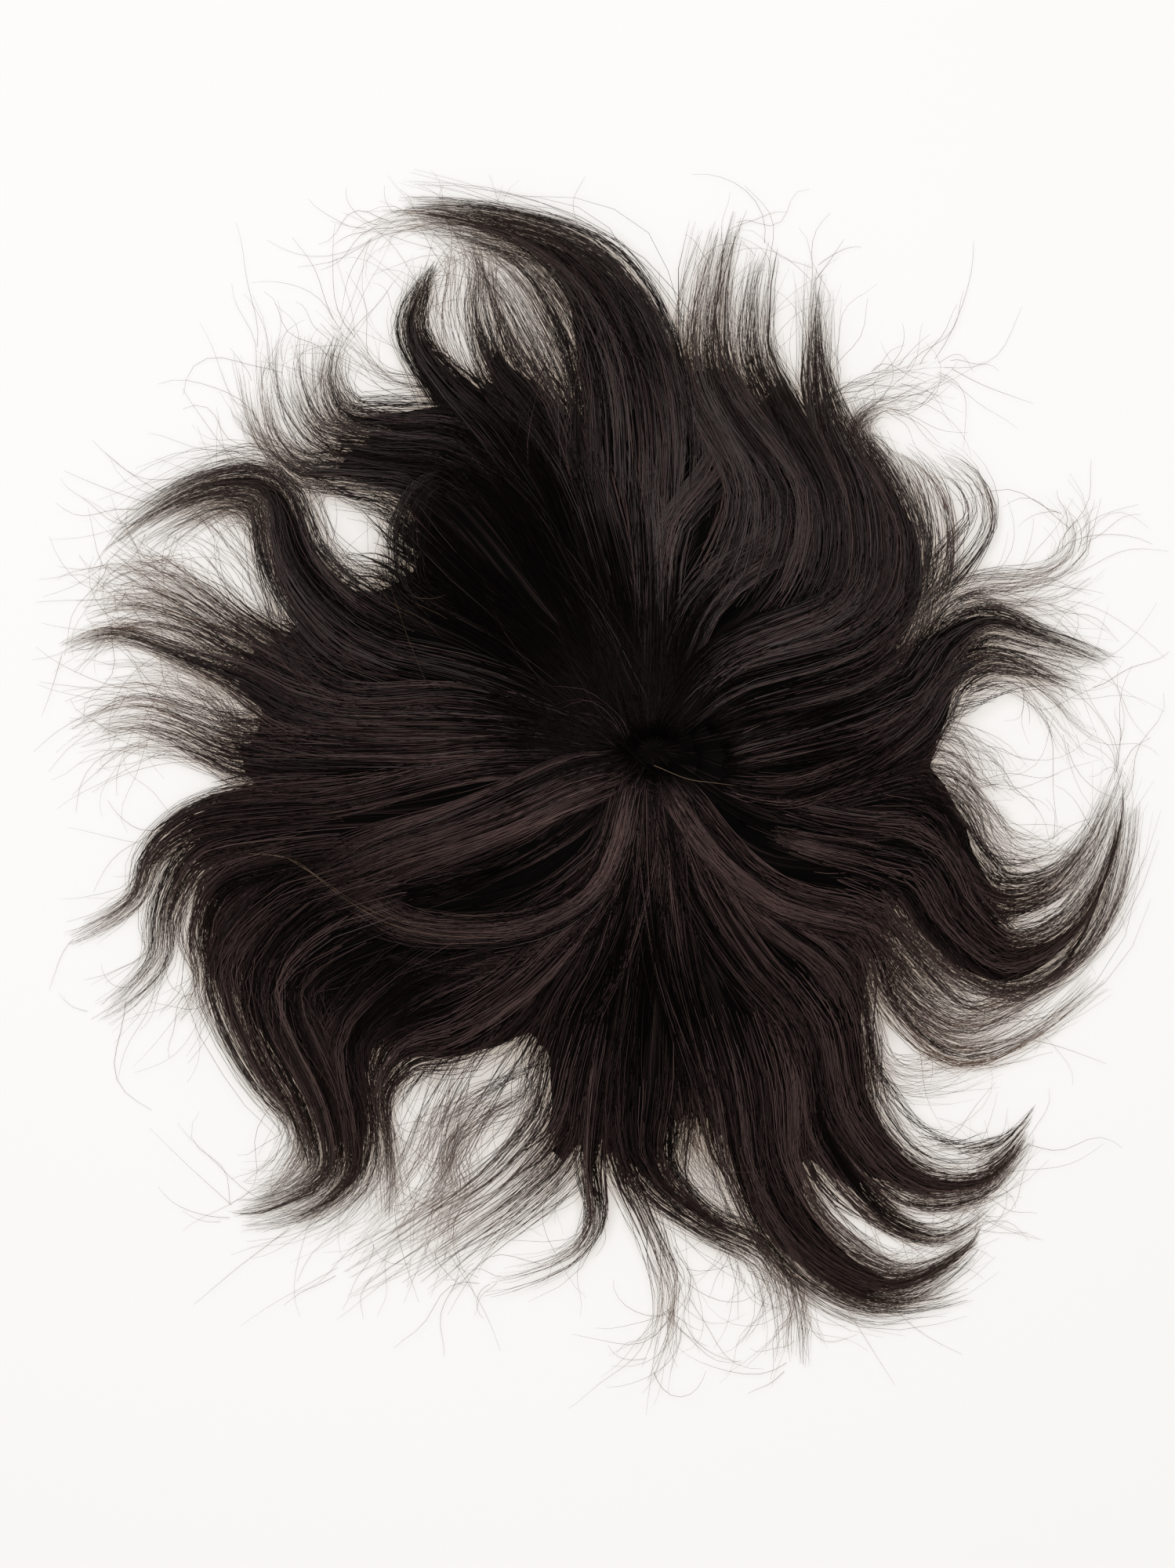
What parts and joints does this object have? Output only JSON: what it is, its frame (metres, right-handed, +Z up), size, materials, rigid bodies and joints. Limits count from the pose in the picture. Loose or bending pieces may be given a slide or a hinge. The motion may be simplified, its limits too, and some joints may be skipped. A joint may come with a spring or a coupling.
{
  "type": "hair replacement system",
  "caption": "Domed thin base covered with wavy dark hair that leaves one crown whorl and spreads in locks all round; worn on the head over thinning hair.",
  "frame": {"origin": "on the surface that it lies on, under the middle of the whole spread's bounding box", "axes": "+Z up from the surface, +Y towards the front of the head, +X towards the wearer's right"},
  "size_m": [0.4068, 0.4476, 0.0552],
  "materials": {
    "base_net": "matt net",
    "hair": "satin fibre"
  },
  "bodies": {
    "root": {"base_cap": "base_net", "hair_crown": "hair", "hair_front_right": "hair", "hair_front_left": "hair", "hair_back_left": "hair", "hair_back": "hair", "hair_right": "hair"}
  },
  "joints": []
}
